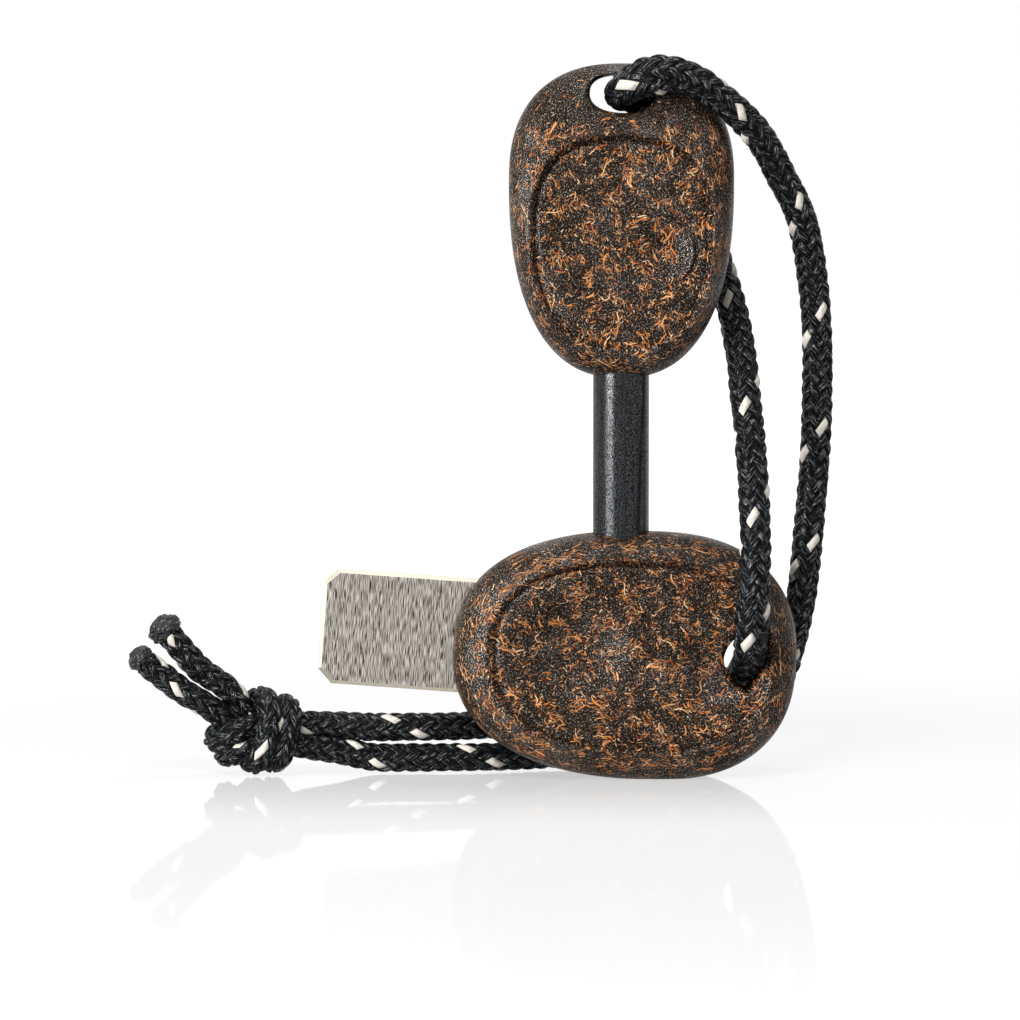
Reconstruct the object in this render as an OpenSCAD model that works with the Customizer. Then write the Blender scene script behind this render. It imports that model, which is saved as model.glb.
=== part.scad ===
// Fire starter with two grips. A ferrocerium rod is moulded into the rod handle and
// stands in a blind socket in the edge of the striker handle, whose steel blade
// scrapes it. One braided cord runs through the eye of each handle and is knotted.
//
// Frame: millimetres, Z up, X to the right, Y away from the viewer. The origin is
// under the middle of the rigid pieces, on the surface that the striker rests on.
// Every piece is drawn from the rod's axis and then moved by origin_x.

/* [Ferro rod] */
// Diameter of the rod
rod_d = 9.5; // [7:0.5:10.5]
// Length of the rod from end to end
rod_len = 63.5; // [60:0.5:70]
// Chamfer on both ends of the rod
rod_chamfer = 0.6; // [0.2:0.1:1.2]
// Length of rod that is moulded into the rod handle
rod_grip_depth = 19.5; // [14:0.5:24]

/* [Rod handle] */
// Length from the rod's end to the eye's end
rod_handle_len = 53; // [50:0.5:60]
// Width across the widest place
rod_handle_w = 38; // [34:0.5:44]
// Distance from the eye's end to the widest place
rod_handle_crown = 19.7; // [17:0.1:23]
// Thickness at the rod's end
rod_handle_t = 16.5; // [15:0.5:20]
// Thickness at the eye's end
rod_handle_eye_t = 11; // [9:0.5:14]
// Size of the eye across the handle
rod_eye_across = 10.6; // [8:0.2:13]
// Size of the eye along the handle
rod_eye_along = 6.6; // [6:0.2:8]
// Wall between the eye and the handle's end
rod_eye_wall = 1.9; // [1.5:0.1:3]
// Radius of the thumb scoop in the dish
rod_scoop_r = 5.8; // [4:0.2:7]

/* [Striker handle] */
// Length from the blade's end to the eye's end
striker_len = 58.3; // [56:0.1:66]
// Height across the widest place
striker_w = 42.2; // [40:0.2:48]
// Distance from the eye's end to the widest place
striker_crown = 24.4; // [21:0.1:28]
// Thickness at the socket and the blade
striker_t = 16.5; // [15:0.5:20]
// Thickness at the eye's end
striker_eye_t = 13; // [10:0.5:16]
// Tilt of the long axis, the blade's end up, in degrees
striker_tilt = 1.9; // [0:0.1:5]
// Distance from the widest place to the rod's socket
socket_offset = 5.4; // [2:0.1:8]
// Depth of the socket that holds the rod
socket_depth = 18; // [12:0.5:22]
// Size of the eye across the handle
striker_eye_across = 9.6; // [8:0.2:12]
// Size of the eye along the handle
striker_eye_along = 6.8; // [6:0.2:8]
// How far the eye narrows to a drop's point at its lower end
striker_eye_point = 0.25; // [0:0.05:0.4]
// How far the drop's point leans towards the handle's end
striker_eye_lean = 1; // [0:0.1:1.4]
// Wall between the eye and the handle's end
striker_eye_wall = 5.6; // [4.5:0.1:7]
// Drop of the eye below the long axis
striker_eye_drop = 0.9; // [0:0.1:2]
// Radius of the thumb scoop in the dish
striker_scoop_r = 11; // [8:0.5:13]
// Depth cut off the lower edge for the flat that the handle rests on
rest_cut = 0.5; // [0.3:0.05:0.8]

/* [Dishes and edges] */
// Height of the crisp step around each dish
dish_step = 0.7; // [0.4:0.1:1]
// Further depth of each dish at its middle
dish_bowl = 1.2; // [0.6:0.1:1.4]
// Depth of each thumb scoop below the dish
scoop_depth = 0.9; // [0.4:0.1:1]
// Radius of the rounded lip of both eyes
eye_lip = 1.6; // [0.8:0.1:2]

/* [Striker blade] */
// Width of the blade
blade_w = 19.5; // [16:0.5:22]
// Thickness of the blade
blade_t = 1.9; // [1.2:0.1:2.5]
// Length of blade that stands out of the handle
blade_out = 22.5; // [18:0.5:28]
// Tilt of the blade, its free end up, in degrees
blade_tilt = 4.2; // [0:0.1:6]
// Height of the blade's middle line where it crosses the rod's axis
blade_z = 22.1; // [20:0.1:24]
// Size of the clipped corners at the free end
blade_clip = 2.4; // [1:0.1:4]
// Width of the ground bevel round the free edges
bevel_w = 0.8; // [0.3:0.1:1.5]
// Depth of the ground bevel
bevel_depth = 0.3; // [0.1:0.05:0.5]
// Wall between the tang's end and the rod's socket
tang_wall = 2; // [1.5:0.1:4]
// Width of the tang
tang_w = 13; // [10:0.5:15]
// Diameter of the two keying holes in the tang
tang_hole_d = 4; // [3:0.5:5]

/* [Cord] */
// Diameter of the braided cord
cord_d = 4.9; // [4:0.1:5]
// Diameter of the two tails beyond the knot
tail_d = 4.5; // [4:0.1:5]
// Length of the knot along the floor
knot_len = 18; // [16:0.2:20]
// Height of the knot
knot_high = 14.6; // [13:0.2:16]
// Depth of the knot away from the viewer
knot_deep = 14.5; // [12:0.5:16]
// Diameter of the melted end of each tail
seal_d = 5.6; // [5:0.1:6.5]

/* [Fits] */
// Radial clearance of the rod in the striker's socket
socket_clearance = 0.1; // [0.05:0.01:0.1]

/* [Hidden] */

handle_colour = "#46301f";
rod_colour = "#2c2d30";
steel_colour = "#b8b5ab";
cord_colour = "#1b1d20";
seal_colour = "#0f1012";

// Roundness of the outlines: 2 is an ellipse, more is squarer
outline_n = 2.4;
dish_n = 2.5;
// Where the rounded edge begins, as a share of the way from middle to outline, and the
// roundness of its section
edge_start = 0.6;
edge_n = 2.8;
// Points round a handle, rings inside its dish and rings over its edge
spokes = 64;
dish_rings = 4;
edge_rings = 7;
// Foot of the crisp step, as a share of the dish's outline
step_foot = 0.95;
// Longest reach used for cutters that pass right through a handle
through = 40;

// Outline of a handle and of its dish: [x of the widest place, y of the middle line,
// length below the widest place, length above it, half width, roundness].
// x runs along the handle towards its eye and y across it.
rod_outline = [0, 0, rod_handle_len - rod_handle_crown, rod_handle_crown,
    rod_handle_w / 2, outline_n];
rod_dish = dish_in(rod_outline, [-8, 0], 4.9, 12, 3.4);
striker_outline = [0, 0, striker_len - striker_crown, striker_crown,
    striker_w / 2, outline_n];
striker_dish = dish_in(striker_outline, [-1.4, 0.3], 6, 4.4, 4.8);

// Place of each eye in its handle
rod_eye = [rod_handle_crown - rod_eye_wall - rod_eye_along / 2, 0];
striker_eye = [striker_crown - striker_eye_wall - striker_eye_along / 2,
    -striker_eye_drop];

// Thumb scoops of each dish: [place in the handle, radius, depth]
rod_scoops = [[[-12, -6.6], rod_scoop_r, scoop_depth]];
striker_scoops = [[[-10.5, -3.6], striker_scoop_r, scoop_depth],
    [[10.5, -6.5], 0.7 * striker_scoop_r, 0.7 * scoop_depth]];

// The striker's widest place, from the rod's axis, with its rest flat on the floor
striker_rim = [for (p = egg_points(striker_outline)) turn(p, -striker_tilt)];
striker_centre = [socket_offset, -min([for (p = striker_rim) p.y]) - rest_cut];
// Height of the striker's top edge over the socket, where the rod goes in
socket_top = striker_centre.y
    + max([for (p = striker_rim) if (abs(p.x + socket_offset) < 3) p.y]);
socket_floor = socket_top - socket_depth;
rod_top = socket_floor + rod_len;
// Height of the rod handle's widest place above the floor
rod_handle_z = rod_top - rod_grip_depth + rod_handle_len - rod_handle_crown;

// The blade's shoulder, let into the handle's edge, and its free end, from the rod's axis
shoulder_sink = 2.6;
blade_shoulder = striker_len - striker_crown - socket_offset - shoulder_sink;
blade_end = blade_shoulder + shoulder_sink + blade_out;
// The tang's end, and the places of its two keying holes along it
tang_end = rod_d / 2 + socket_clearance + tang_wall;
tang_holes = [for (share = [0.25, 0.67]) blade_shoulder - share * (blade_shoulder - tang_end)];
blade_corners = [for (p = blade_outline()) [0, blade_z] + turn(p, -blade_tilt)];

// Puts the origin under the middle of the rigid pieces
x_least = min([for (p = blade_corners) p.x]);
x_most = striker_centre.x + max([for (p = striker_rim) p.x]);
origin_x = -(x_least + x_most) / 2;

// Route of the cord's loop, from the rod's axis: out of the knot along the floor, up
// the outer strand, through the rod handle's eye from the front, down the inner
// strand, through the striker's eye and back to the knot
cord_route = [
    [-53, 6, 3.6], [-42, 5, 2.6], [-30, 5.2, 2.55], [-20, 6.8, 2.55],
    [-10, 10.4, 2.6], [4, 12.6, 2.6], [17, 13.8, 4.6], [26, 13.4, 12],
    [30.5, 12, 25], [32.6, 11.4, 42], [33.7, 10, 60], [33.5, 8.2, 77],
    [31.2, 5.2, 93], [27.2, 1.8, 101.5], [23.6, -1.6, 107.9], [20, -4.4, 111.9],
    [16.5, -6.2, 114.8], [13, -7.4, 117.3], [9.6, -8.2, 118.6], [6.2, -8.6, 118.8],
    [3, -8.3, 118.1], [0.4, -6.4, 116.5], [-0.4, -3, 115.6], [-0.2, 0.5, 115.4],
    [0.6, 4, 115.1], [2.2, 7.4, 113.4], [4.6, 10.4, 109.4], [7.4, 11.6, 104.5],
    [10.4, 11.6, 98.6], [16.1, 10.4, 88.5], [19.8, 6.8, 76], [21.2, 1.4, 64],
    [22.1, -4.4, 52], [22.4, -9, 40.5], [22, -10.6, 31], [21.6, -8.6, 23.6],
    [21.3, -3, 19.3], [21.2, 4, 18.3], [20, 10, 15.6], [12.6, 13.2, 11.8],
    [0, 13, 8.8], [-12, 12, 7.7], [-21, 10.2, 7.7], [-30, 6.6, 7.75],
    [-42, 4.6, 7.8], [-53, 3.4, 8.2]];
// Numbers of the route's points where one stretch ends and the next begins
lower_run_end = 6;
outer_strand_end = 10;
bight_end = 31;
inner_strand_end = 39;
route_end = len(cord_route) - 1;

// Each tail: its points from the knot to the melted end
tail_low = [[-66.6, 0.6, 10.5], [-71.8, 0.7, 13.2], [-76.6, 0.9, 16.4],
    [-80.8, 1.3, 19.3]];
tail_high = [[-65, 5.2, 11], [-69.2, 5, 15.4], [-73.2, 4.8, 19.8], [-77, 4.5, 23.8]];

// Middle of the knot, and the steps along each of its two strands
knot_middle = [-61.9, 3.2, 7.4];
knot_steps = 24;
knot_open = 140;
// Size of the knot's turns across and in depth
knot_scale = 2.5;
knot_weave = 3.4;
// Sides of the cord's tube, and rings for each point of its route
cord_sides = 8;
cord_steps = 2;

function unit(v) = v / norm(v);
function turn(p, a) = [p.x * cos(a) - p.y * sin(a), p.x * sin(a) + p.y * cos(a)];
function power(v, n) = sign(v) * pow(abs(v), n);
function ease(v) = let (c = min(max(v, 0), 1)) c * c * (3 - 2 * c);

// Dish in an outline, about a middle, with margins at its foot, at its eye and beside it
function dish_in(e, middle, foot, eye, side) = [middle.x, middle.y,
    e[2] + middle.x - foot, e[3] - middle.x - eye, e[4] - side, dish_n];
// Points round an egg outline, and how far out a point lies in it: 1 is on it
function egg_points(e, share = 1) = [for (i = [0:spokes - 1])
    let (a = 360 * i / spokes, c = cos(a), s = sin(a))
    [e[0] + share * (c < 0 ? e[2] : e[3]) * power(c, 2 / e[5]),
        e[1] + share * e[4] * power(s, 2 / e[5])]];
function egg_share(e, p) = let (x = p.x - e[0], y = p.y - e[1])
    pow(pow(abs(x / (x < 0 ? e[2] : e[3])), e[5]) + pow(abs(y / e[4]), e[5]), 1 / e[5]);

// Half thickness of a handle before its dish: rounded edge, thinner towards the eye
function body_half(p, outline, t, eye_t) =
    let (u = (egg_share(outline, p) - edge_start) / (1 - edge_start),
        edge = u <= 0 ? 1 : pow(max(0, 1 - pow(u, edge_n)), 1 / edge_n),
        along = ease((p.x + outline[3] * 0.7) / (outline[3] * 1.7)))
    edge * (t + (eye_t - t) * along) / 2;
function dish_depth(share) = dish_step + dish_bowl * (1 - share * share);

// Rings of a handle's face, from the dish's middle outwards: [points, half thickness]
function dish_ring(outline, dish, t, eye_t, share) =
    [for (p = egg_points(dish, share))
        [p.x, p.y, body_half(p, outline, t, eye_t) - dish_depth(share)]];
function edge_ring(outline, dish, t, eye_t, share) =
    let (inner = egg_points(dish), outer = egg_points(outline))
    [for (i = [0:spokes - 1]) let (p = inner[i] + (outer[i] - inner[i]) * share)
        [p.x, p.y, share == 1 ? 0 : body_half(p, outline, t, eye_t)]];
function face_rings(outline, dish, t, eye_t) = concat(
    [for (k = [1:dish_rings]) dish_ring(outline, dish, t, eye_t, step_foot * k / dish_rings)],
    [for (k = [0:edge_rings])
        edge_ring(outline, dish, t, eye_t, sin(90 * k / edge_rings))]);

function mirrored(ring) = [for (p = ring) [p.x, p.y, -p.z]];
function reversed(list) = [for (i = [len(list) - 1:-1:0]) list[i]];
// Two triangles for each gap between neighbouring rings of n points
function ring_faces(rings, n) = [for (k = [0:rings - 2], i = [0:n - 1], half = [0, 1])
    let (j = (i + 1) % n, a = k * n, b = a + n)
    half == 0 ? [a + i, b + i, b + j] : [a + i, b + j, a + j]];

// Smooth curve through the points of a route
function between(a, b, c, d, t) = 0.5 * (2 * b + (c - a) * t
    + (2 * a - 5 * b + 4 * c - d) * t * t + (3 * b - a - 3 * c + d) * t * t * t);
function smooth_route(p, steps) = let (n = len(p) - 1) concat(
    [for (i = [0:n - 1], k = [0:steps - 1])
        between(p[max(i - 1, 0)], p[i], p[i + 1], p[min(i + 2, n)], k / steps)],
    [p[n]]);
function heading(r, i) = unit(r[min(i + 1, len(r) - 1)] - r[max(i - 1, 0)]);
function square_to(v, along) = unit(v - (v * along) * along);
// A direction square to the route at each of its points, carried without twist
function sideways(r) = [for (i = 0, v = square_to([0.1, 1, 0.2], heading(r, 0));
    i < len(r);
    i = i + 1, v = square_to(v, heading(r, min(i, len(r) - 1)))) v];

function blade_outline() = let (w = blade_w / 2, c = blade_clip, e = blade_end)
    [[-e, w - c], [-e + c, w], [-blade_shoulder, w], [-blade_shoulder, tang_w / 2],
        [-tang_end, tang_w / 2], [-tang_end, -tang_w / 2], [-blade_shoulder, -tang_w / 2],
        [-blade_shoulder, -w], [-e + c, -w], [-e, c - w]];

// Moves a piece from the rod's axis to the part's own frame
module in_frame() { translate([origin_x, 0, 0]) children(); }

// Turns a handle's own axes, x to the eye, y across and z to the viewer, into place
module as_rod_handle() {
    translate([0, 0, rod_handle_z]) rotate([90, -90, 0]) children();
}
module as_striker() {
    translate([striker_centre.x, 0, striker_centre.y]) rotate([90, striker_tilt, 0])
        children();
}

// Pebble-like body with a dish on both faces
module handle_body(outline, dish, t, eye_t) {
    rings = face_rings(outline, dish, t, eye_t);
    back = [for (k = [len(rings) - 2:-1:0]) mirrored(rings[k])];
    all_rings = concat(rings, back);
    count = len(all_rings);
    mid = [dish[0], dish[1], body_half(dish, outline, t, eye_t) - dish_depth(0)];
    points = concat([for (r = all_rings) each r], [mid, [mid.x, mid.y, -mid.z]]);
    front_mid = count * spokes;
    last = (count - 1) * spokes;
    polyhedron(points, concat(
        [for (f = ring_faces(count, spokes)) reversed(f)],
        [for (i = [0:spokes - 1]) [front_mid, (i + 1) % spokes, i]],
        [for (i = [0:spokes - 1]) [front_mid + 1, last + i, last + (i + 1) % spokes]]),
        convexity = 6);
}

// Cutter for an eye whose lips are rounded towards both faces. A point above 0 narrows
// the oval to a drop, whose point can lean along the handle
module eye_cutter(along, across, half, lip, point = 0, lean = 0) {
    sides = 32;
    lip_steps = 4;
    outward = [for (k = [0:lip_steps]) let (a = 90 * k / lip_steps)
        [half - lip + lip * sin(a), lip * (1 - cos(a))]];
    ends = concat([[half + lip, lip]], reversed(outward));
    levels = concat([for (e = ends) [-e[0], e[1]]], outward, [[half + lip, lip]]);
    points = [for (l = levels, i = [0:sides - 1])
        let (a = 360 * i / sides, low = pow(max(0, -sin(a)), 2))
        [(along / 2 + l[1]) * cos(a) * (1 - point * low) + lean * low,
            (across / 2 + l[1]) * sin(a), l[0]]];
    top = (len(levels) - 1) * sides;
    polyhedron(points, concat(ring_faces(len(levels), sides),
        [[for (i = [0:sides - 1]) i]],
        [[for (i = [sides - 1:-1:0]) top + i]]), convexity = 4);
}

// Half thickness of a handle at a place in its dish
function floor_half(p, outline, dish, t, eye_t) =
    body_half(p, outline, t, eye_t) - dish_depth(egg_share(dish, p));

// Shallow ball-shaped thumb scoops on both faces
module scoop_cutters(scoops, outline, dish, t, eye_t) {
    for (scoop = scoops, face = [-1, 1]) {
        place = scoop[0];
        depth = scoop[2];
        ball_r = (scoop[1] * scoop[1] + depth * depth) / (2 * depth);
        foot = floor_half(place, outline, dish, t, eye_t) - depth;
        translate([place.x, place.y, face * (foot + ball_r)]) sphere(ball_r, $fn = 64);
    }
}

module rod_handle() {
    eye_half = body_half(rod_eye, rod_outline, rod_handle_t, rod_handle_eye_t);
    color(handle_colour) in_frame() difference() {
        as_rod_handle() difference() {
            handle_body(rod_outline, rod_dish, rod_handle_t, rod_handle_eye_t);
            translate([rod_eye.x, rod_eye.y, 0])
                eye_cutter(rod_eye_along, rod_eye_across, eye_half, eye_lip);
            scoop_cutters(rod_scoops, rod_outline, rod_dish, rod_handle_t,
                rod_handle_eye_t);
        }
        translate([0, 0, socket_floor]) rod_solid();
    }
}

module rod_solid() {
    c = rod_chamfer;
    rotate_extrude($fn = 96)
        polygon([[0, 0], [rod_d / 2 - c, 0], [rod_d / 2, c], [rod_d / 2, rod_len - c],
            [rod_d / 2 - c, rod_len], [0, rod_len]]);
}

module ferro_rod() {
    color(rod_colour) in_frame() translate([0, 0, socket_floor]) rod_solid();
}

module striker_handle() {
    eye_half = body_half(striker_eye, striker_outline, striker_t, striker_eye_t)
        - dish_depth(1);
    color(handle_colour) in_frame() difference() {
        as_striker() difference() {
            handle_body(striker_outline, striker_dish, striker_t, striker_eye_t);
            translate([striker_eye.x, striker_eye.y, 0])
                eye_cutter(striker_eye_along, striker_eye_across, eye_half, eye_lip,
                    striker_eye_point, striker_eye_lean);
            scoop_cutters(striker_scoops, striker_outline, striker_dish, striker_t,
                striker_eye_t);
        }
        translate([0, 0, socket_floor])
            cylinder(d = rod_d + 2 * socket_clearance, h = through, $fn = 96);
        blade_solid();
        translate([-through, -through, -through]) cube([2 * through, 2 * through, through]);
    }
}

// Flat bar with bevelled edges, standing on edge in the plane of the handles
module blade_solid() {
    translate([0, 0, blade_z]) rotate([90, blade_tilt, 0]) difference() {
        for (face = [0, 1]) mirror([0, 0, face]) {
            linear_extrude(blade_t / 2 - bevel_depth) polygon(blade_outline());
            hull() {
                linear_extrude(blade_t / 2) polygon(free_blade(bevel_w));
                linear_extrude(blade_t / 2 - bevel_depth) polygon(free_blade(0));
            }
        }
        for (back = tang_holes)
            translate([-back, 0, -blade_t]) cylinder(d = tang_hole_d, h = 2 * blade_t, $fn = 48);
    }
}
// The part of the blade outside the tang, drawn in by a margin on its free sides
function free_blade(m) = let (w = blade_w / 2 - m, c = blade_clip - m * (2 - sqrt(2)),
    e = blade_end - m)
    [[-e, w - c], [-e + c, w], [-blade_shoulder, w], [-blade_shoulder, -w],
        [-e + c, -w], [-e, c - w]];

module striker_blade() {
    color(steel_colour) in_frame() blade_solid();
}

// Tube round the points of a smooth route, from one of them to another
module tube(route, diameter, from, to) {
    side = sideways(route);
    points = [for (i = [from:to], k = [0:cord_sides - 1])
        let (along = heading(route, i), a = 360 * k / cord_sides)
        route[i] + diameter / 2 * (cos(a) * side[i] + sin(a) * cross(along, side[i]))];
    rings = to - from + 1;
    polyhedron(points, concat(ring_faces(rings, cord_sides),
        [[for (k = [0:cord_sides - 1]) k]],
        [[for (k = [cord_sides - 1:-1:0]) (rings - 1) * cord_sides + k]]),
        convexity = 8);
}

// One stretch of the cord's loop, between two numbered points of its route
module cord_stretch(from, to) {
    color(cord_colour) in_frame() tube(smooth_route(cord_route, cord_steps), cord_d,
        from * cord_steps, to * cord_steps);
}
module cord_lower_run() { cord_stretch(0, lower_run_end); }
module cord_outer_strand() { cord_stretch(lower_run_end, outer_strand_end); }
module cord_bight() { cord_stretch(outer_strand_end, bight_end); }
module cord_inner_strand() { cord_stretch(bight_end, inner_strand_end); }
module cord_upper_run() { cord_stretch(inner_strand_end, route_end); }

// Overhand knot of the doubled cord, from its middle: each strand comes in from its
// run, follows an opened trefoil and leaves towards its tail
function knot_turns(side) = [for (k = [0:knot_steps])
    let (a = -knot_open + 2 * knot_open * k / knot_steps, size = knot_scale + 0.15 * side)
    [size * (sin(a) + 2 * sin(2 * a)), -knot_weave * sin(3 * a) + 1.7 * side * cos(2 * a),
        -size * (cos(a) - 2 * cos(2 * a)) - 0.2]];
function knot_strand(side) = let (tail = side < 0 ? tail_low[0] : tail_high[0],
    run = side < 0 ? cord_route[0] : cord_route[route_end])
    concat([run - knot_middle, [5.2, 2.6, 3 + side]], knot_turns(side), [tail - knot_middle]);
knot_points = concat(knot_strand(-1), knot_strand(1));
knot_box_middle = [for (axis = [0:2]) let (v = [for (p = knot_points) p[axis]])
    (min(v) + max(v)) / 2];
module cord_knot() {
    color(cord_colour) in_frame() translate(knot_middle)
        resize([knot_len, knot_deep, knot_high]) translate(-knot_box_middle)
            for (side = [-1, 1], k = [0:len(knot_strand(side)) - 2]) hull()
                for (p = [knot_strand(side)[k], knot_strand(side)[k + 1]])
                    translate(p) sphere(d = cord_d * 0.9, $fn = cord_sides);
}

module cord_tail(points) {
    color(cord_colour) in_frame() tube(smooth_route(points, cord_steps), tail_d, 0,
        (len(points) - 1) * cord_steps);
}
module cord_tail_low() { cord_tail(tail_low); }
module cord_tail_high() { cord_tail(tail_high); }

// Melted end: a short bulge that is flat where it meets its tail
module tail_seal(points) {
    route = smooth_route(points, cord_steps);
    tip = route[len(route) - 1];
    way = heading(route, len(route) - 1);
    color(seal_colour) in_frame() translate(tip)
        rotate([0, acos(way.z), atan2(way.y, way.x)]) rotate_extrude($fn = 32)
            polygon([[0, 0], [tail_d / 2, 0], [seal_d / 2, 0.9], [seal_d / 2, 2],
                [seal_d / 2 - 0.8, 3.1], [seal_d / 4, 3.7], [0, 3.8]]);
}
module tail_seal_low() { tail_seal(tail_low); }
module tail_seal_high() { tail_seal(tail_high); }

rod_handle();
ferro_rod();
striker_handle();
striker_blade();
cord_bight();
cord_outer_strand();
cord_inner_strand();
cord_lower_run();
cord_upper_run();
cord_knot();
cord_tail_low();
cord_tail_high();
tail_seal_low();
tail_seal_high();
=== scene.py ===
"""Fire starter with two moulded grips, a ferrocerium rod, a steel blade and one braided cord.

The rod handle stands in the striker handle's socket, as packed. Sizes are millimetres,
counted from the rod's axis as in the part's source, until a mesh is made.
"""

import math

import bmesh
import bpy
import numpy as np
from mathutils import Matrix, Vector, noise


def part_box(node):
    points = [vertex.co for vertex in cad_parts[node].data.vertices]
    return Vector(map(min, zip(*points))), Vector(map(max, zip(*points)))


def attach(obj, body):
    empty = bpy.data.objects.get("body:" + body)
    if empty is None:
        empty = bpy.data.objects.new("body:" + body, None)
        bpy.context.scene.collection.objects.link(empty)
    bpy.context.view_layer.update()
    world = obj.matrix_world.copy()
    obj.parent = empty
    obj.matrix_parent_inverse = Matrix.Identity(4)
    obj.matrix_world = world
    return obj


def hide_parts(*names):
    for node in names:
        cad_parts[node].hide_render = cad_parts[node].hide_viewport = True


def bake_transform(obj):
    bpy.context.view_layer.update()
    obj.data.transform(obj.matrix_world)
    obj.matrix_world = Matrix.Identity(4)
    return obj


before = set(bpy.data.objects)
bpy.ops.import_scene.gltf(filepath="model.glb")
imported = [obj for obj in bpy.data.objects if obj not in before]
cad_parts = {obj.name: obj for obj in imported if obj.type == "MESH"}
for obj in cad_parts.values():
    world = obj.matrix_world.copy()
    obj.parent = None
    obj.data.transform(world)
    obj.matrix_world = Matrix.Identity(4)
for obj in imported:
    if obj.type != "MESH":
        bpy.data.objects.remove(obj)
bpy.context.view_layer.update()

MM = 0.001
rod_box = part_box("ferro_rod")
ROD_X = (rod_box[0].x + rod_box[1].x) / 2


def in_frame(points):
    """Millimetres from the rod's axis to metres in the part's frame."""
    return np.asarray(points, float) * MM + np.array([ROD_X, 0, 0])


# Camera

CAMERA_DISTANCE = 0.85
CAMERA_ELEVATION = math.radians(4)
VIEW_WIDTH = 0.1729
VIEW_MIDDLE = in_frame([-18.8, 0, 45.36])


def aim(thing, target):
    way = Vector(target) - thing.location
    thing.rotation_euler = way.to_track_quat("-Z", "Y").to_euler()


def make_camera():
    camera = bpy.data.objects.new("camera", bpy.data.cameras.new("camera"))
    bpy.context.scene.collection.objects.link(camera)
    back = Vector((0, -math.cos(CAMERA_ELEVATION), math.sin(CAMERA_ELEVATION)))
    camera.location = Vector(VIEW_MIDDLE) + CAMERA_DISTANCE * back
    aim(camera, VIEW_MIDDLE)
    camera.data.sensor_width = 36
    camera.data.lens = 36 * CAMERA_DISTANCE / VIEW_WIDTH
    camera.data.clip_start = 0.05
    camera.data.clip_end = 20
    bpy.context.scene.camera = camera


make_camera()

# Meshes


def add_mesh(name, points, faces, smooth=True):
    """A mesh object from points in metres."""
    mesh = bpy.data.meshes.new(name)
    mesh.from_pydata(np.asarray(points, float).tolist(), [], faces)
    mesh.update()
    mesh.polygons.foreach_set("use_smooth", [smooth] * len(mesh.polygons))
    thing = bpy.data.objects.new(name, mesh)
    bpy.context.scene.collection.objects.link(thing)
    return thing


def outward(thing):
    """Turns all the faces outwards."""
    work = bmesh.new()
    work.from_mesh(thing.data)
    bmesh.ops.recalc_face_normals(work, faces=work.faces)
    work.to_mesh(thing.data)
    work.free()
    return thing


def cut(thing, cutter):
    """Takes the cutter out of a piece and applies it."""
    step = thing.modifiers.new("cut", "BOOLEAN")
    step.operation = "DIFFERENCE"
    step.solver = "EXACT"
    step.object = cutter
    graph = bpy.context.evaluated_depsgraph_get()
    mesh = bpy.data.meshes.new_from_object(thing.evaluated_get(graph))
    thing.modifiers.clear()
    old, thing.data = thing.data, mesh
    bpy.data.meshes.remove(old)
    bpy.data.objects.remove(cutter)
    return thing


def corner_attribute(mesh, name, values):
    """Three numbers at every face corner, for the materials to read."""
    layer = mesh.attributes.new(name, "FLOAT_VECTOR", "CORNER")
    layer.data.foreach_set("vector", np.asarray(values, np.float32).ravel())


def unit(v):
    return v / np.maximum(np.linalg.norm(v, axis=-1, keepdims=True), 1e-12)


def smooth_line(points, steps):
    """Catmull-Rom curve through points."""
    p = np.asarray(points, float)
    p = np.vstack([2 * p[0] - p[1], p, 2 * p[-1] - p[-2]])
    t = (np.arange(steps) / steps)[:, None]
    out = []
    for a, b, c, d in zip(p[:-3], p[1:-2], p[2:-1], p[3:]):
        out.append(0.5 * (2 * b + (c - a) * t + (2 * a - 5 * b + 4 * c - d) * t * t
                          + (3 * b - a - 3 * c + d) * t ** 3))
    return np.vstack(out + [p[-2:-1]])


def at_counts(points, count):
    """The same line with a number of points at equal distances."""
    along = np.r_[0, np.cumsum(np.linalg.norm(np.diff(points, axis=0), axis=1))]
    at = np.linspace(0, along[-1], count)
    return np.stack([np.interp(at, along, points[:, k]) for k in range(3)], axis=1)


def evenly(points, spacing):
    """The same line with points a whole number of equal steps apart."""
    length = np.linalg.norm(np.diff(points, axis=0), axis=1).sum()
    return at_counts(points, int(round(length / spacing)) + 1)


def softened(points, times, strength=0.5):
    """Rounds a line's corners, its ends held."""
    p = points.copy()
    for _ in range(times):
        p[1:-1] += strength * ((p[:-2] + p[2:]) / 2 - p[1:-1])
    return p


# Cord

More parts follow.
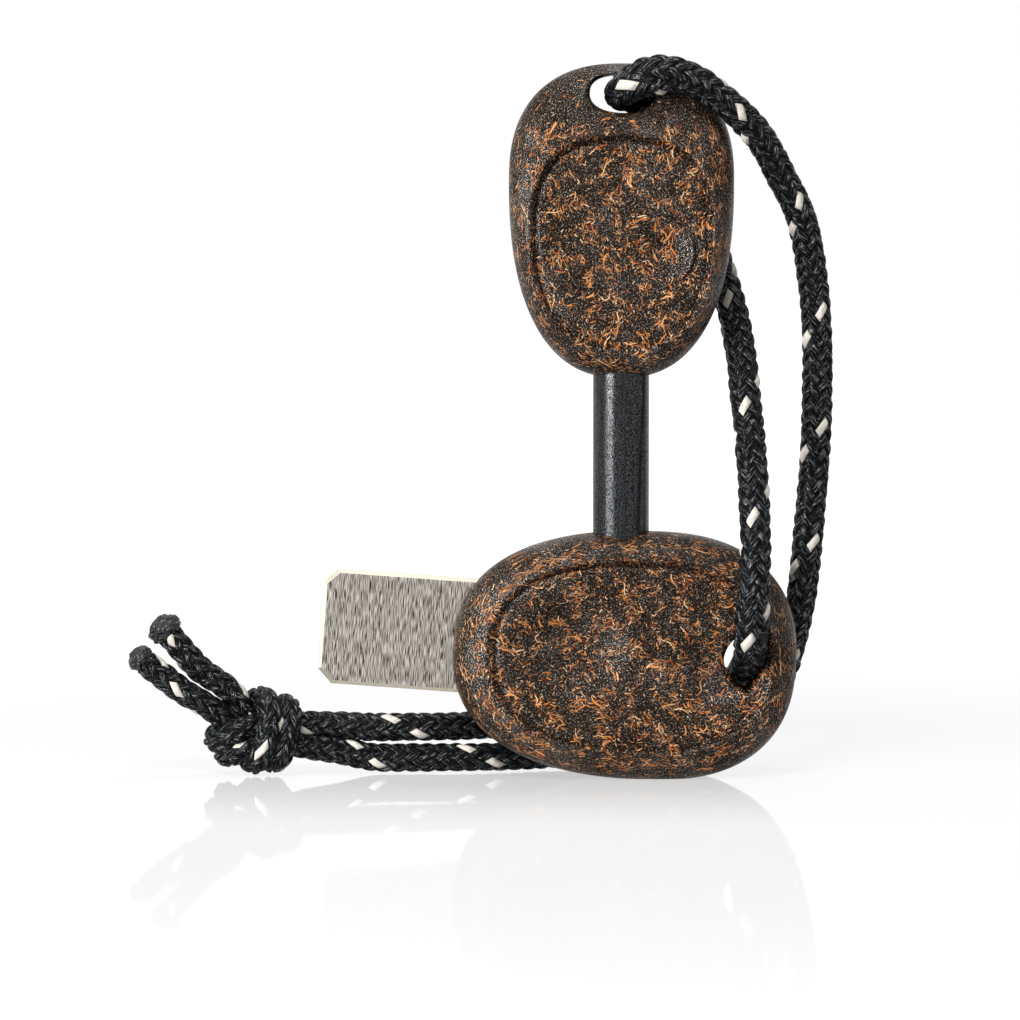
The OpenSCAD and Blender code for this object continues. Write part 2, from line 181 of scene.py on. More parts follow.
CORD_ROUTE = [
    (-53, 6, 3.6), (-42, 5, 2.6), (-30, 5.2, 2.55), (-20, 6.8, 2.55), (-10, 10.4, 2.6),
    (4, 12.6, 2.6), (17, 13.8, 4.6), (26, 13.4, 12), (30.5, 12, 25), (32.6, 11.4, 42),
    (33.7, 10, 60), (33.5, 8.2, 77), (31.2, 5.2, 93), (27.2, 1.8, 101.5),
    (23.6, -1.6, 107.9), (20, -4.4, 111.9), (16.5, -6.2, 114.8), (13, -7.4, 117.3),
    (9.6, -8.2, 118.6), (6.2, -8.6, 118.8), (3, -8.3, 118.1), (0.4, -6.4, 116.5),
    (-0.4, -3, 115.6), (0.3, 0.5, 115.4), (2.1, 4, 115.1), (4, 7.4, 112.9),
    (5.6, 10.4, 109), (7.4, 11.6, 104.5), (10.4, 11.6, 98.6), (16.1, 10.4, 88.5),
    (19.8, 6.8, 76), (21.2, 1.4, 64), (22.1, -4.4, 52), (22.4, -9, 40.5),
    (22, -10.6, 31), (21.6, -8.6, 23.6), (21.3, -3, 19.3), (21.2, 4, 18.3),
    (20, 10, 15.6), (12.6, 13.2, 11.8), (0, 13, 8.8), (-12, 12, 7.7), (-21, 10.2, 7.7),
    (-30, 6.6, 7.75), (-42, 4.6, 7.8), (-53, 3.4, 8.2)]
TIP_LOW = (-80.8, 1.3, 19.3)
TIP_HIGH = (-77, 4.5, 23.8)
KNOT_MIDDLE = np.array([-61.9, 3.2, 7.4])
KNOT_ROLL = math.radians(346)
KNOT_LEAN = 0.3
# How near the middle lines of two parts come in the tight knot, where the cord gives
KNOT_GAP = 3.4

CORD_D = 5.1
TAIL_D = 4.5
# The braid: carriers in each direction, columns of the mesh, and length of one turn
CARRIERS = 8
COLUMNS = 64
TURN_LENGTH = 20.0


def carried_sides(line, first):
    """A direction square to a line at each of its points, carried along without twist."""
    sides = []
    for way in unit(np.gradient(line, axis=0)):
        first = first - first.dot(way) * way
        first = first / np.linalg.norm(first)
        sides.append(first)
    return np.array(sides)


def open_knot():
    """Middle line of a wide open overhand knot, from its run to its tails."""
    a = np.radians(np.linspace(-150, 150, 121))
    loops = np.stack([6.5 * (np.sin(a) + 2 * np.sin(2 * a)), -7.5 * np.sin(3 * a),
                      6.5 * (2 * np.cos(2 * a) - np.cos(a))], axis=1)
    loops[:, 2] -= loops[:, 2].mean()
    c, s = math.cos(KNOT_ROLL), math.sin(KNOT_ROLL)
    return loops @ np.array([[1, 0, 0], [0, c, s], [0, -s, c]])


def tight_knot(count=84, steps=520):
    """Both strands of the doubled knot, each from its run to its melted tip.

    They start side by side along an open knot. Step by step they shorten, parts that
    come nearer than the cord is thick push each other away, and the floor holds them up.
    """
    runs = np.array([CORD_ROUTE[1], CORD_ROUTE[-2]]) - KNOT_MIDDLE
    tips = np.array([TIP_HIGH, TIP_LOW]) - KNOT_MIDDLE
    start, end = runs.mean(0), tips.mean(0)
    line = at_counts(np.vstack([1.5 * start, start, open_knot(), end, 1.3 * end]), 400)
    line = softened(line, 60)
    side = carried_sides(line, runs[1] - runs[0])
    p = np.stack([at_counts(line + k * KNOT_GAP / 2 * side, count) for k in (-1, 1)])
    number = np.arange(count)
    inner = np.clip(np.minimum(number, number[::-1]) / (0.25 * count), 0, 1)
    inner = (inner * inner * (3 - 2 * inner))[None, :, None]
    for step in range(steps):
        p[:, 1:-1] += 0.5 * ((p[:, :-2] + p[:, 2:]) / 2 - p[:, 1:-1])
        spacing = np.linalg.norm(np.diff(p, axis=1), axis=2).mean()
        near = np.abs(number[:, None] - number) * spacing < 1.55 * KNOT_GAP
        near = np.kron(np.eye(2, dtype=bool), near)
        for _ in range(2):
            flat = p.reshape(-1, 3)
            apart = flat[:, None] - flat
            distance = np.linalg.norm(apart, axis=2) + 1e-9
            over = np.where(near, 0, np.clip(KNOT_GAP - distance, 0, None))
            touching = np.maximum((over > 0).sum(1), 1)[:, None]
            push = 0.65 * ((over / distance)[..., None] * apart).sum(1) / touching
            p = (flat + push).reshape(p.shape)
        if step > 0.55 * steps:
            p[..., 2] += 0.3 * np.clip(2.05 - KNOT_MIDDLE[2] + 0.1 - p[..., 2], 0, None)
        flat = p.reshape(-1, 3)
        distance = np.linalg.norm(flat[:, None] - flat, axis=2)
        packed = ((distance < 1.4 * KNOT_GAP) & ~near).sum(1) > 12
        body = flat[packed] if packed.sum() > 8 else flat
        p -= 0.2 * (body.min(0) + body.max(0)) / 2 * inner
        p[:, 0], p[:, -1] = runs, tips
        if step % 10 == 9:
            p = np.stack([at_counts(strand, count) for strand in p])
    lean = np.clip((15 - np.linalg.norm(p, axis=2)) / 6, 0, 1)
    p[..., 0] += KNOT_LEAN * lean * lean * (3 - 2 * lean) * p[..., 2]
    return p + KNOT_MIDDLE


def cord_line():
    """The whole cord's middle line, from the high melted end to the low one."""
    first, last = tight_knot()
    points = np.vstack([first[::-1], CORD_ROUTE[2:-2], last])
    return softened(evenly(smooth_line(points, 12), TURN_LENGTH / COLUMNS), 30)


def cord_diameters(line):
    """Thick where it stands free, thinner on the floor, in the tails and in the knot,
    and spread where it bends over the edge of an eye."""
    def near(place, reach):
        return np.exp(-(np.linalg.norm(line - place, axis=1) / reach) ** 2)

    size = np.interp(line[:, 2], [8, 25], [4.7, CORD_D])
    size += (TAIL_D - size) * np.clip((-60 - line[:, 0]) / 8, 0, 1)
    size -= 0.45 * near(KNOT_MIDDLE, 9)
    return size + 1.1 * near((5, -8.5, 118.5), 6) + 0.5 * near((21.7, -9, 26), 6)


def braid(name, line, diameter, phase):
    """A braided cord: a tube whose face rises over each float of its strands.

    Each ring is one column further round for both families of strands, so that the
    edges between strands run along edges of the mesh.
    """
    rings = len(line)
    side = carried_sides(line, np.array([0.2, 1, 0.1]))
    up = np.cross(unit(np.gradient(line, axis=0)), side)
    i = np.arange(COLUMNS)
    j = np.arange(rings)
    per = COLUMNS // CARRIERS
    a = (i[None, :] + j[:, None] + phase) / per
    b = (i[None, :] - j[:, None] + 4000 * per) / per

    def float_of(a, b):
        """Which family is on top, the strand's number, and the place in its float."""
        na, nb = np.floor(a), np.floor(b)
        top = np.mod(na + nb, 4) < 2
        across = np.where(top, a - na, b - nb)
        along = np.where(top, np.mod(na + b, 4), np.mod(nb + a, 4) - 2) / 2
        return top, np.where(top, na, nb), across, np.clip(along, 0, 1)

    eps = 1e-6
    top, number, across, along = float_of(a + eps, b + eps)
    crown = np.sqrt(np.clip(1 - (2 * across - 1) ** 2, 0, 1))
    arch = np.sin(np.pi * along) ** 0.4
    wobble = 0.06 * np.sin(number * 12.9898 + np.floor(j[:, None] / 16) * 4.1)
    rise = (0.56 + wobble) * crown ** 0.8 * arch
    half = np.asarray(diameter)[:, None] / 2
    reach = half - 0.42 + rise * (half / 2.45)
    angle = 2 * np.pi * i / COLUMNS
    out = (np.cos(angle)[None, :, None] * side[:, None, :]
           + np.sin(angle)[None, :, None] * up[:, None, :])
    points = (line[:, None, :] + reach[:, :, None] * out).reshape(-1, 3)

    ii, jj = np.meshgrid(i, np.arange(rings - 1))
    ii, jj = ii.ravel(), jj.ravel()
    nxt = (ii + 1) % COLUMNS
    p00, p10 = jj * COLUMNS + ii, jj * COLUMNS + nxt
    p01, p11 = p00 + COLUMNS, p10 + COLUMNS
    rising = (ii + jj + phase + 1) % per == 0
    first = np.where(rising[:, None], np.stack([p00, p10, p01], 1),
                     np.stack([p00, p10, p11], 1))
    second = np.where(rising[:, None], np.stack([p10, p11, p01], 1),
                      np.stack([p00, p11, p01], 1))
    start, end = len(points), len(points) + 1
    points = np.vstack([points, line[:1], line[-1:]])
    k = np.arange(COLUMNS)
    cap_a = np.stack([np.full(COLUMNS, start), (k + 1) % COLUMNS, k], 1)
    last = (rings - 1) * COLUMNS
    cap_b = np.stack([np.full(COLUMNS, end), last + k, last + (k + 1) % COLUMNS], 1)
    faces = np.vstack([first, second, cap_a, cap_b])
    thing = outward(add_mesh(name, in_frame(points), faces.tolist()))

    corner = np.empty(len(thing.data.loops), int)
    thing.data.loops.foreach_get("vertex_index", corner)
    corner = corner.reshape(-1, 3)
    col = np.where(corner < start, corner % COLUMNS, 0)
    ring = np.where(corner < start, corner // COLUMNS, 0)
    wraps = (col.max(1) - col.min(1)) > COLUMNS // 2
    col = np.where(wraps[:, None] & (col < COLUMNS // 2), col + COLUMNS, col)
    ca = (col + ring + phase) / per
    cb = (col - ring + 4000 * per) / per
    ma, mb = ca.mean(1, keepdims=True), cb.mean(1, keepdims=True)
    na, nb = np.floor(ma), np.floor(mb)
    top = np.mod(na + nb, 4) < 2
    across = np.where(top, ca - na, cb - nb)
    along = np.where(top, cb, ca) * 2.0 + np.where(top, na, nb) * 7.3
    tracer = np.broadcast_to(~top & (np.mod(nb, CARRIERS) == 3), across.shape)
    corner_attribute(thing.data, "strand",
                     np.stack([across, along, tracer.astype(float)], -1).reshape(-1, 3))
    return thing


def melted_end(name, tip, before, size, node):
    """The lump that each end of the cord was melted into."""
    way = unit(tip - before)
    work = bmesh.new()
    bmesh.ops.create_icosphere(work, subdivisions=5, radius=1)
    across = Vector(np.cross(way, [0, 1, 0])).normalized()
    spin = Matrix((across, Vector(np.cross(way, across)), Vector(way))).transposed()
    for v in work.verts:
        p = v.co.copy()
        lump = noise.fractal(p * 1.7 + Vector(tip), 0.8, 2.0, 3)
        p *= 1 + 0.16 * lump
        v.co = spin @ Vector((p.x * size[0], p.y * size[0], p.z * size[1]))
    mesh = bpy.data.meshes.new(name)
    work.to_mesh(mesh)
    work.free()
    middle = tip + way * size[1] * 0.55
    mesh.transform(Matrix.Translation(in_frame(middle)) @ Matrix.Scale(MM, 4))
    mesh.polygons.foreach_set("use_smooth", [True] * len(mesh.polygons))
    thing = bpy.data.objects.new(name, mesh)
    bpy.context.scene.collection.objects.link(thing)
    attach(thing, "striker")
    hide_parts(node)
    return thing


line = cord_line()
cord = braid("braided_cord", line, cord_diameters(line), 0)
low_end = melted_end("melted_end_low", line[-1], line[-8], (2.3, 1.9), "tail_seal_low")
high_end = melted_end("melted_end_high", line[0], line[7], (2.8, 2.2), "tail_seal_high")
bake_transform(cord)
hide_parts("cord_bight", "cord_outer_strand", "cord_inner_strand",
            "cord_lower_run", "cord_upper_run", "cord_knot", "cord_tail_low",
            "cord_tail_high")

# Handles


class Handle:
    """A pebble-shaped grip. Its own axes: x towards the eye, y across, z to the viewer."""

    def __init__(self, name, outline, dish, thick, eye_thick, scoops, step_width):
        self.name, self.outline, self.dish = name, outline, dish
        self.thick, self.eye_thick = thick, eye_thick
        self.scoops, self.step_width = scoops, step_width

    @staticmethod
    def egg(e, angle, share=1.0):
        c, s = np.cos(angle), np.sin(angle)
        n = 2 / e[5]
        x = e[0] + share * np.where(c < 0, e[2], e[3]) * np.sign(c) * np.abs(c) ** n
        y = e[1] + share * e[4] * np.sign(s) * np.abs(s) ** n
        return np.stack([x, y], -1)

    @staticmethod
    def share(e, x, y):
        x, y = x - e[0], y - e[1]
        return (np.abs(x / np.where(x < 0, e[2], e[3])) ** e[5]
                + np.abs(y / e[4]) ** e[5]) ** (1 / e[5])

    def body(self, x, y):
        """Half thickness before the dish."""
        u = np.clip((self.share(self.outline, x, y) - EDGE_START) / (1 - EDGE_START), 0, 1)
        edge = (1 - u ** EDGE_N) ** (1 / EDGE_N)
        c = np.clip((x + self.outline[3] * 0.7) / (self.outline[3] * 1.7), 0, 1)
        along = c * c * (3 - 2 * c)
        return edge * (self.thick + (self.eye_thick - self.thick) * along) / 2

    def inward(self, x, y):
        """Distance from the dish's edge towards its middle."""
        away = np.hypot(x - self.dish[0], y - self.dish[1])
        return (1 / np.maximum(self.share(self.dish, x, y), 0.02) - 1) * away

    @staticmethod
    def crease(scoop, x, y):
        """1 along the sharp line where a leaning scoop meets the dish."""
        (cx, cy), radius, depth, lean, crisp = scoop
        dx, dy = (x - cx) / radius, (y - cy) / radius
        rim = (np.hypot(dx, dy) - 1.02) * radius / 0.3
        return np.exp(-rim * rim) * np.clip(1.6 * (dx * lean[0] + dy * lean[1]), 0, 1)

    @staticmethod
    def lit_scoop_wall(scoop, x, y):
        """1 on the part of the scoop's wall that faces the lamps, 0 away from it."""
        (cx, cy), radius = scoop[:2]
        dx, dy = (x - cx) / radius, (y - cy) / radius
        band = (np.hypot(dx, dy) - 0.7) / 0.3
        return np.exp(-band * band) * np.clip(-1.6 * dy, 0, 1)

    def half(self, x, y):
        """Half thickness with the dish's step and groove, its bowl and the scoops."""
        s = self.share(self.dish, x, y)
        inward = self.inward(x, y)
        w = self.step_width
        t = np.clip(inward / w, 0, 1)
        step = DISH_STEP * t * t * (3 - 2 * t)
        groove = 0.22 * np.exp(-((inward - w) / 0.3) ** 2)
        bowl = DISH_BOWL * np.clip(1 - s * s, 0, 1)
        lip = 0.2 * np.exp(-((inward + 0.4) / 0.55) ** 2)
        h = self.body(x, y) - step - groove - bowl + lip * np.clip(2 - s, 0, 1)
        for scoop in self.scoops:
            (cx, cy), radius, depth, lean, crisp = scoop
            dx, dy = (x - cx) / radius, (y - cy) / radius
            r2 = dx * dx + dy * dy
            k = crisp
            bowl = np.where(k * (1 - r2) < 30,
                            np.log1p(np.exp(np.minimum(k * (1 - r2), 30))) / k, 1 - r2)
            side = dx * lean[0] + dy * lean[1]
            weight = np.clip(0.5 + 0.5 * side, 0, 1) if lean != (0, 0) else 1.0
            weight = weight * weight * (3 - 2 * weight) if lean != (0, 0) else 1.0
            h = h - depth * bowl * weight
            h = h - 0.7 * self.crease(scoop, x, y)
        return h

    def build(self):
        spokes = 360
        angle = 2 * np.pi * np.arange(spokes) / spokes
        inner_shares = np.r_[np.linspace(0.02, 0.86, 84), np.linspace(0.87, 1, 20)]
        edge_shares = np.r_[np.linspace(0.03, 0.3, 8),
                            np.sin(np.linspace(0.32, np.pi / 2, 30))]
        inner, outer = self.egg(self.dish, angle), self.egg(self.outline, angle)
        rings = [self.egg(self.dish, angle, s) for s in inner_shares]
        rings += [inner + (outer - inner) * s for s in edge_shares]
        flat = np.array(rings)
        height = self.half(flat[..., 0], flat[..., 1])
        height[-1] = 0
        front = np.concatenate([flat, height[..., None]], -1)
        back = front[-2::-1] * [1, 1, -1]
        grid = np.concatenate([front, back])
        count = len(grid)
        middle = [self.dish[0], self.dish[1], float(height[0].mean())]
        points = np.vstack([grid.reshape(-1, 3), middle,
                            [middle[0], middle[1], -middle[2]]])
        faces = []
        for k in range(count - 1):
            a = k * spokes
            faces += [(a + i, a + (i + 1) % spokes, a + spokes + (i + 1) % spokes,
                       a + spokes + i) for i in range(spokes)]
        tip, last = count * spokes, (count - 1) * spokes
        faces += [(tip, (i + 1) % spokes, i) for i in range(spokes)]
        faces += [(tip + 1, last + i, last + (i + 1) % spokes) for i in range(spokes)]
        thing = add_mesh(self.name, points * MM, faces)
        return outward(thing)

    def eye_cutter(self, ring, lip):
        """A cutter round the eye's outline whose lips meet both faces."""
        ring = np.asarray(ring, float)
        tangent = np.roll(ring, -1, 0) - np.roll(ring, 1, 0)
        normal = unit(np.stack([tangent[:, 1], -tangent[:, 0]], -1))
        if np.sum(normal * (ring - ring.mean(0))) < 0:
            normal = -normal
        top = self.half(ring[:, 0], ring[:, 1])
        levels = []
        for a in np.linspace(0, np.pi / 2, 9):
            levels.append((lip * (1 - math.cos(a)), top - lip + lip * math.sin(a)))
        levels.append((lip * 1.02, top + 3))
        rows = [(o, z) for o, z in levels]
        rows = [(o, -z) for o, z in reversed(rows)] + rows
        n = len(ring)
        points = np.vstack([np.c_[ring + normal * o, z] for o, z in rows])
        faces = []
        for k in range(len(rows) - 1):
            a = k * n
            faces += [(a + i, a + (i + 1) % n, a + n + (i + 1) % n, a + n + i)
                      for i in range(n)]
        faces.append(tuple(range(n)))
        faces.append(tuple((len(rows) - 1) * n + i for i in reversed(range(n))))
        return outward(add_mesh("eye_cutter", points * MM, faces))

    def fibre_places(self, thing):
        """Where each face corner lies on the moulded skin, in millimetres.

        dish_place: across the face, with how rich in fibres the skin is there, thinned as
        painted shade on the dish's wall and along the scoops' creases, and as painted sheen
        on the scoops' lamp-facing walls.
        rim_place: round the rim and over its edge, with how much of it is rim.
        """
        mesh = thing.data
        co = np.empty(len(mesh.vertices) * 3)
        mesh.vertices.foreach_get("co", co)
        co = co.reshape(-1, 3) / MM
        corner = np.empty(len(mesh.loops), int)
        mesh.loops.foreach_get("vertex_index", corner)
        starts = np.empty(len(mesh.polygons), int)
        mesh.polygons.foreach_get("loop_start", starts)
        totals = np.empty(len(mesh.polygons), int)
        mesh.polygons.foreach_get("loop_total", totals)
        p = co[corner]
        face_of = np.repeat(np.arange(len(starts)), totals)
        first = p[starts][face_of]
        x, y, z = p.T
        back = first[:, 2] < 0
        ox, oy = self.dish[0], self.dish[1]
        a = np.arctan2(y - oy, x - ox)
        a0 = np.arctan2(first[:, 1] - oy, first[:, 0] - ox)
        a = np.where(a - a0 > np.pi, a - 2 * np.pi, a)
        a = np.where(a - a0 < -np.pi, a + 2 * np.pi, a)
        table_a = np.linspace(-2 * np.pi, 2 * np.pi, 1441)
        rim = self.egg(self.outline, table_a, 0.93)
        true_a = np.unwrap(np.arctan2(rim[:, 1] - oy, rim[:, 0] - ox))
        true_a += np.round((table_a[720] - true_a[720]) / (2 * np.pi)) * 2 * np.pi
        length = np.r_[0, np.cumsum(np.linalg.norm(np.diff(rim, axis=0), axis=1))]
        s = np.interp(a, true_a, length)
        outer = np.clip(self.share(self.outline, x, y), 0, 1)
        wide = self.outline[4]
        t = np.where(back, wide * (2 - outer) - z, wide * outer - z)
        u = np.clip((outer - EDGE_START) / (1 - EDGE_START), 0, 1)
        in_dish = self.share(self.dish, x, y)
        rim_mask = np.clip((in_dish - 0.97) / 0.05, 0, 1)
        rich = 1 - 0.6 * np.clip((u - 0.7) / 0.25, 0, 1)
        # Painted shade: fewer fibres, so darker skin, on the dish's stepped wall.
        wall = (self.inward(x, y) / self.step_width - 0.65) / 0.45
        rich = rich * self.richness(x, y) * (1 - 0.45 * np.exp(-wall * wall))
        for scoop in self.scoops:
            # Painted shade: fewer fibres, so a dark line, along each scoop's crease.
            rich = rich * (1 - 0.9 * self.crease(scoop, x, y))
            # Painted sheen: fewer fibres on the scoop's wall that faces the lamps, so that
            # wall shows bare, pale-specked skin where the sheen falls.
            rich = rich * (1 - 0.7 * self.lit_scoop_wall(scoop, x, y))
        corner_attribute(mesh, "dish_place", np.stack(
            [x + np.where(back, 300, 0), y, rich], -1))
        corner_attribute(mesh, "rim_place", np.stack([s, t, rim_mask], -1))

    def richness(self, x, y):
        return np.ones_like(x)


EDGE_START = 0.6
EDGE_N = 2.8
DISH_STEP = 1.0
DISH_BOWL = 1.2


class RodHandle(Handle):
    def richness(self, x, y):
        """Few fibres come to the skin round the eye."""
        near_eye = np.clip((x - 7.5) / 3.5, 0, 1)
        return 1 - 0.88 * near_eye


def superellipse(middle, along, across, n, turn=0.0, count=96):
    a = 2 * np.pi * np.arange(count) / count
    x = along * np.sign(np.cos(a)) * np.abs(np.cos(a)) ** (2 / n)
    y = across * np.sign(np.sin(a)) * np.abs(np.sin(a)) ** (2 / n)
    c, s = math.cos(turn), math.sin(turn)
    return np.stack([middle[0] + c * x - s * y, middle[1] + s * x + c * y], -1)


def closed_curve(points, steps):
    p = np.asarray(points, float)
    n = len(p)
    t = (np.arange(steps) / steps)[:, None]
    out = []
    for k in range(n):
        a, b, c, d = p[k - 1], p[k], p[(k + 1) % n], p[(k + 2) % n]
        out.append(0.5 * (2 * b + (c - a) * t + (2 * a - 5 * b + 4 * c - d) * t * t
                          + (3 * b - a - 3 * c + d) * t ** 3))
    return np.vstack(out)


ROD_OUTLINE = (0, 0, 33.3, 19.7, 19, 2.4)
ROD_DISH = (-8, 0, 20.4, 15.7, 15.6, 2.5)
STRIKER_OUTLINE = (0, 0, 33.9, 24.4, 21.1, 2.4)
STRIKER_DISH = (-1.4, 0.3, 26.5, 21.4, 16.3, 2.5)
STRIKER_TILT = math.radians(1.9)
REST_CUT = 0.5
SOCKET_OFFSET = 5.4
SOCKET_D = 9.7

rod_handle_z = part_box("rod_handle")[1].z / MM - ROD_OUTLINE[3]
rim_points = Handle.egg(STRIKER_OUTLINE, 2 * np.pi * np.arange(64) / 64)
rim_low = -rim_points[:, 0] * math.sin(STRIKER_TILT) + rim_points[:, 1] * math.cos(
    STRIKER_TILT)
striker_z = -rim_low.min() - REST_CUT
socket_floor = rod_box[0].z / MM

AS_ROD_HANDLE = Matrix(((0, -1, 0, ROD_X), (0, 0, -1, 0),
                        (1, 0, 0, rod_handle_z * MM), (0, 0, 0, 1)))
AS_STRIKER = Matrix((
    (math.cos(STRIKER_TILT), math.sin(STRIKER_TILT), 0, ROD_X + SOCKET_OFFSET * MM),
    (0, 0, -1, 0),
    (-math.sin(STRIKER_TILT), math.cos(STRIKER_TILT), 0, striker_z * MM),
    (0, 0, 0, 1)))


def rod_handle():
    grip = RodHandle("rod_handle_grip", ROD_OUTLINE, ROD_DISH, 16.5, 11,
                     [((-12, -6.6), 5.8, 2.1, (0.15, -0.99), 16)], 1.25)
    thing = grip.build()
    cut(thing, grip.eye_cutter(superellipse((14.5, 0), 3.15, 5.4, 2.3, -0.05), 1.3))
    grip.fibre_places(thing)
    thing.data.transform(AS_ROD_HANDLE)
    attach(thing, "fire_rod")
    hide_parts("rod_handle")
    return outward(thing)


def upright_bar(name, radius, low, high, sides=128):
    """A plain cylinder on the rod's axis, in metres."""
    a = 2 * np.pi * np.arange(sides) / sides
    ring = np.stack([radius * np.cos(a), radius * np.sin(a)], -1)
    points = np.vstack([np.c_[ring, np.full(sides, low)], np.c_[ring, np.full(sides, high)]])
    faces = [(i, (i + 1) % sides, sides + (i + 1) % sides, sides + i)
             for i in range(sides)]
    faces += [tuple(reversed(range(sides))), tuple(range(sides, 2 * sides))]
    return outward(add_mesh(name, in_frame(points), faces))


def striker_handle():
    grip = Handle("striker_handle_grip", STRIKER_OUTLINE, STRIKER_DISH, 16.5, 13,
                  [((-13, 1.2), 8.8, 2.5, (0, 0), 6), ((11, -0.8), 6.5, 1.9, (0, 0), 6)],
                  1.35)
    thing = grip.build()
    eye = closed_curve([(16.3, -4.9), (17.5, -3.2), (18.4, -0.8), (18.6, 1.6), (17.6, 3.5),
                        (15.4, 4.1), (13.4, 3.2), (12.2, 0.9), (12.2, -1), (13.4, -3.1),
                        (15, -4.6)], 9)
    cut(thing, grip.eye_cutter(eye, 1.1))
    grip.fibre_places(thing)
    thing.data.transform(AS_STRIKER)
    cut(thing, upright_bar("socket_cutter", SOCKET_D / 2, socket_floor, 60))
    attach(thing, "striker")
    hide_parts("striker_handle")
    return thing


rod_grip = rod_handle()
striker_grip = striker_handle()

# Rod and blade


def ferro_rod():
    """Bar with chamfered ends, turned from its profile."""
    low, high = rod_box[0].z / MM, rod_box[1].z / MM
    profile = [(0, low), (4.15, low), (4.3, low + 0.05), (4.7, low + 0.45), (4.75, low + 0.6)]
    profile += [(4.75, z) for z in np.linspace(low + 2, high - 2, 24)]
    profile += [(4.75, high - 0.6), (4.3, high - 0.05), (0, high)]
    sides = 128
    a = 2 * np.pi * np.arange(sides) / sides
    points = np.vstack([np.stack([r * np.cos(a), r * np.sin(a), np.full(sides, z)], -1)
                        for r, z in profile])
    faces = []
    for k in range(len(profile) - 1):
        o = k * sides
        faces += [(o + i, o + (i + 1) % sides, o + sides + (i + 1) % sides, o + sides + i)
                  for i in range(sides)]
    thing = add_mesh("ferro_rod_bar", in_frame(points), faces)
    work = bmesh.new()
    work.from_mesh(thing.data)
    bmesh.ops.remove_doubles(work, verts=work.verts, dist=1e-7)
    bmesh.ops.recalc_face_normals(work, faces=work.faces)
    work.to_mesh(thing.data)
    work.free()
    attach(thing, "fire_rod")
    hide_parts("ferro_rod")
    return thing


BLADE_Z = 22.1
BLADE_TILT = math.radians(4.2)
BLADE_END = 51.0
BLADE_W = 19.5
BLADE_T = 1.9
BLADE_CLIP = 2.4


def blade_ring(margin, root):
    """The blade's outline, drawn in by a margin; x runs back from the free end."""
    w, e = BLADE_W / 2 - margin, BLADE_END - margin
    c = BLADE_CLIP - 0.59 * margin
    return [(-e, c - w), (-e, w - c), (-e + c, w), (root, w), (root, -w), (-e + c, -w)]


def striker_blade():
    """Flat bar with a ground bevel round its free edges."""
    root = -24.0
    bevel_w, bevel_d = 0.6, 0.42
    rows = [(blade_ring(bevel_w, root), BLADE_T / 2), (blade_ring(0.05, root),
            BLADE_T / 2 - bevel_d), (blade_ring(0, root), BLADE_T / 2 - bevel_d - 0.06)]
    rows = rows + [(r, -z) for r, z in reversed(rows)]
    points = [(x, -z, y) for ring, z in rows for x, y in ring]
    n = 6
    faces = [tuple(range(n)), tuple(reversed(range((len(rows) - 1) * n, len(rows) * n)))]
    for k in range(len(rows) - 1):
        o = k * n
        faces += [(o + i, o + (i + 1) % n, o + n + (i + 1) % n, o + n + i)
                  for i in range(n)]
    p = np.array(points)
    c, s = math.cos(BLADE_TILT), math.sin(BLADE_TILT)
    turned = np.stack([c * p[:, 0] + s * p[:, 2], p[:, 1],
                       BLADE_Z - s * p[:, 0] + c * p[:, 2]], -1)
    thing = outward(add_mesh("striker_blade_bar", in_frame(turned), faces, smooth=False))
    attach(thing, "striker")
    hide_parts("striker_blade")
    return thing


rod = ferro_rod()
blade = striker_blade()

# Materials


class Nodes:
    """Short words for building a node tree."""

    def __init__(self, tree):
        self.tree = tree

    def add(self, kind, inputs=(), **settings):
        node = self.tree.nodes.new(kind)
        for key, value in settings.items():
            setattr(node, key, value)
        for key, value in dict(inputs).items():
            socket = node.inputs[key]
            if isinstance(value, bpy.types.NodeSocket):
                self.tree.links.new(value, socket)
            else:
                socket.default_value = value
        return node

    def math(self, operation, a, b=0.0, c=0.0, clamp=False):
        node = self.add("ShaderNodeMath", {0: a, 1: b, 2: c}, operation=operation)
        node.use_clamp = clamp
        return node.outputs[0]

    def vector(self, operation, a, b=(0, 0, 0)):
        node = self.add("ShaderNodeVectorMath", {0: a, 1: b}, operation=operation)
        return node.outputs["Value" if operation in ("LENGTH", "DOT_PRODUCT") else 0]

    def split(self, vector):
        node = self.add("ShaderNodeSeparateXYZ", {0: vector})
        return node.outputs[0], node.outputs[1], node.outputs[2]

    def join(self, x, y, z=0.0):
        return self.add("ShaderNodeCombineXYZ", {0: x, 1: y, 2: z}).outputs[0]

    def attribute(self, name):
        return self.add("ShaderNodeAttribute", attribute_name=name).outputs["Vector"]

    def noise(self, vector, scale, detail=2.0, roughness=0.5):
        node = self.add("ShaderNodeTexNoise", {
            "Vector": vector, "Scale": scale, "Detail": detail, "Roughness": roughness})
        return node.outputs["Fac"]

    def between(self, value, low, high, to_low=0.0, to_high=1.0):
        node = self.add("ShaderNodeMapRange", {
            "Value": value, "From Min": low, "From Max": high, "To Min": to_low,
            "To Max": to_high}, interpolation_type="SMOOTHSTEP")
        return node.outputs["Result"]

    def mix(self, share, a, b):
        node = self.add("ShaderNodeMix", data_type="RGBA")
        for socket, value in ((node.inputs["Factor"], share), (node.inputs[6], a),
                              (node.inputs[7], b)):
            if isinstance(value, bpy.types.NodeSocket):
                self.tree.links.new(value, socket)
            else:
                socket.default_value = value
        return node.outputs[2]

    def bump(self, height, distance, strength=1.0, normal=None):
        node = self.add("ShaderNodeBump", {
            "Height": height, "Distance": distance, "Strength": strength})
        if normal is not None:
            self.tree.links.new(normal, node.inputs["Normal"])
        return node.outputs["Normal"]


